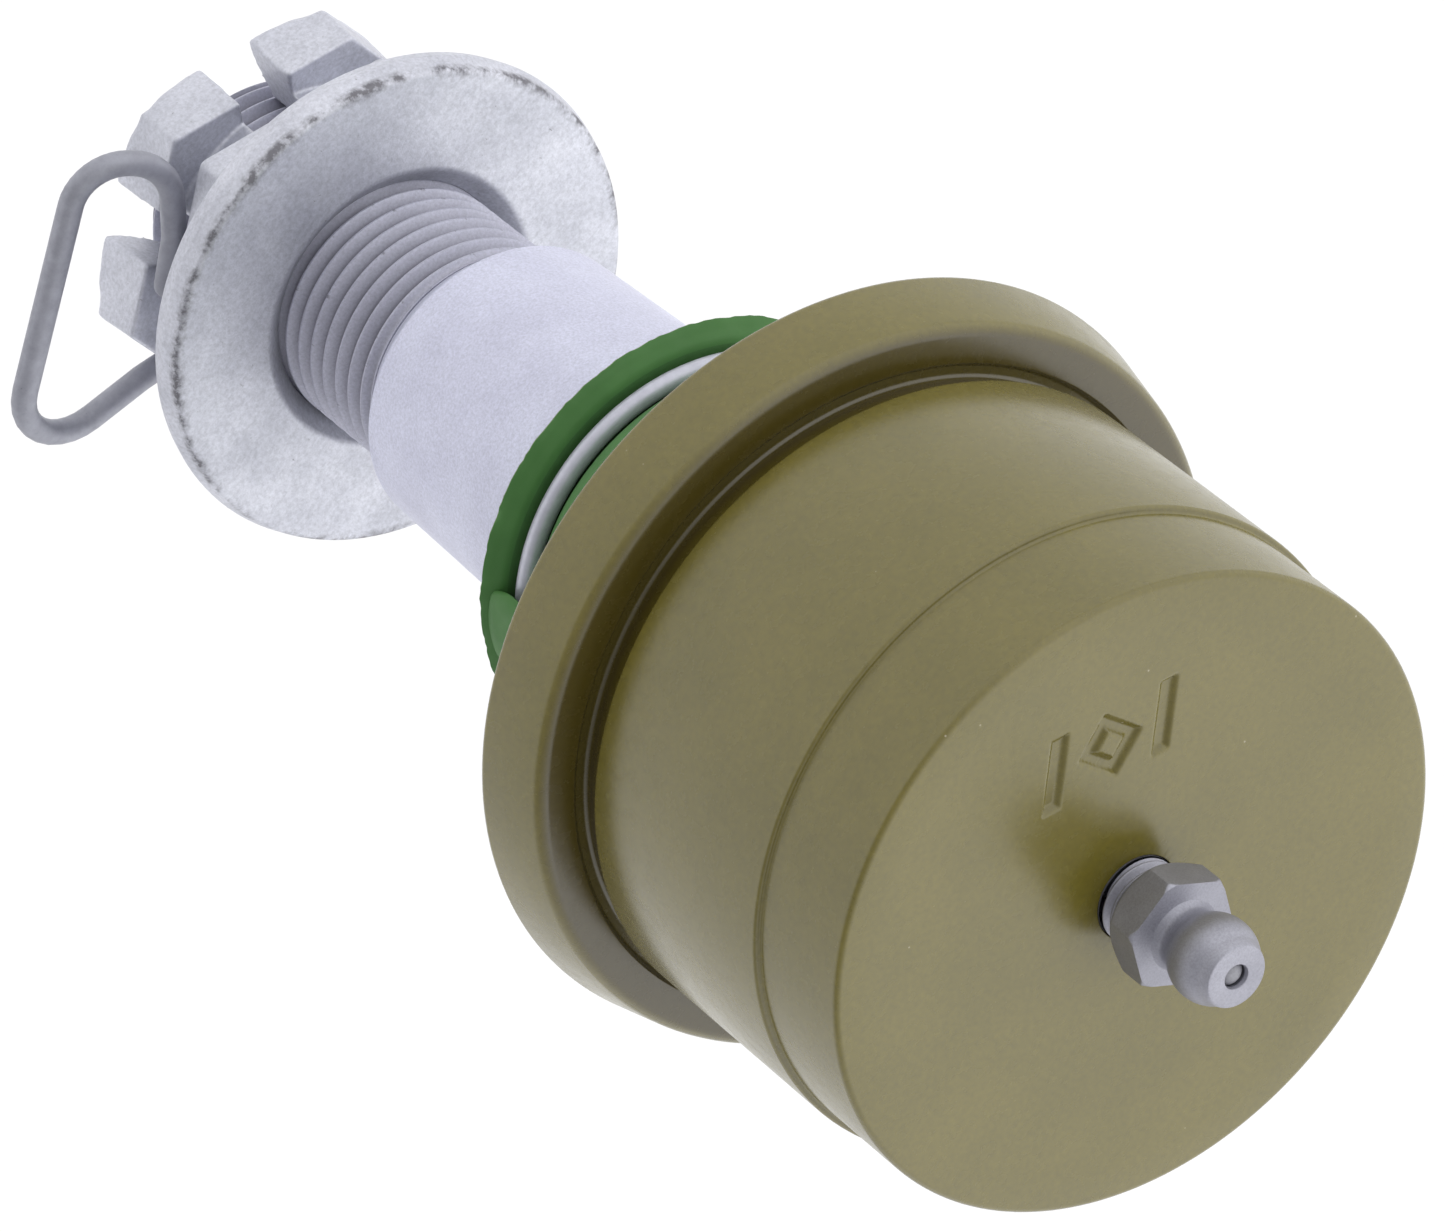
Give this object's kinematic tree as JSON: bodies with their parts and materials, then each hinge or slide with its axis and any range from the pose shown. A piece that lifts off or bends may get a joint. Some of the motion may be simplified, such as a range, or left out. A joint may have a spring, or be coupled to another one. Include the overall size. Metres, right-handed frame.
{
  "type": "suspension ball joint",
  "caption": "Press-in suspension ball joint: olive flanged housing with grease fitting, green boot, tapered stud, flanged castle nut and spring cotter clip.",
  "frame": {"origin": "centre of the ball, on the axis of the press-fit body, inside its length", "axes": "+Z along the common axis towards the closed end and the grease fitting; X along the stud's cross hole, towards the clip's leg side"},
  "size_m": [0.06, 0.06, 0.1303],
  "materials": {
    "olive_paint": "semi-gloss",
    "zinc_steel": "satin",
    "bright_steel": "polished",
    "spring_steel": "satin",
    "inner_steel": "satin",
    "sintered_bearing": "matte",
    "boot_rubber": "satin",
    "ring_wire": "satin",
    "stud_plating": "matte",
    "nut_flake": "matte",
    "clip_wire": "satin"
  },
  "bodies": {
    "housing": {"housing": "olive_paint", "grease_fitting_body": "zinc_steel", "fitting_check_spring": "spring_steel", "fitting_spring_seat": "zinc_steel", "preload_spring": "spring_steel", "pressure_plate": "inner_steel", "upper_bearing": "sintered_bearing", "lower_bearing": "sintered_bearing", "cover_plate": "inner_steel", "boot_clamp_ring": "ring_wire"},
    "check_ball": {"fitting_check_ball": "bright_steel"},
    "boot_waist": {"boot": "boot_rubber"},
    "boot_collar": {"boot_spring_ring": "ring_wire"},
    "stud": {"ball_stud": "stud_plating", "castle_nut": "nut_flake", "cotter_clip": "clip_wire"}
  },
  "joints": [
    {"name": "stud_tilt_x", "type": "hinge", "parent": "housing", "child": "boot_waist", "pos_m": [0, 0, 0], "axis": [1, 0, 0], "range_deg": [-10, 10], "deforming": ["boot"]},
    {"name": "stud_tilt_y", "type": "hinge", "parent": "boot_waist", "child": "boot_collar", "pos_m": [0, 0, 0], "axis": [0, 1, 0], "range_deg": [-10, 10]},
    {"name": "stud_spin", "type": "hinge", "parent": "boot_collar", "child": "stud", "pos_m": [0, 0, 0], "axis": [0, 0, 1], "continuous": true},
    {"name": "check_ball_slide", "type": "slide", "parent": "housing", "child": "check_ball", "axis": [0, 0, -1], "range_m": [0, 0.0008], "stiffness_N_per_m": 150, "springref_m": -0.002, "deforming": ["fitting_check_spring"]}
  ]
}
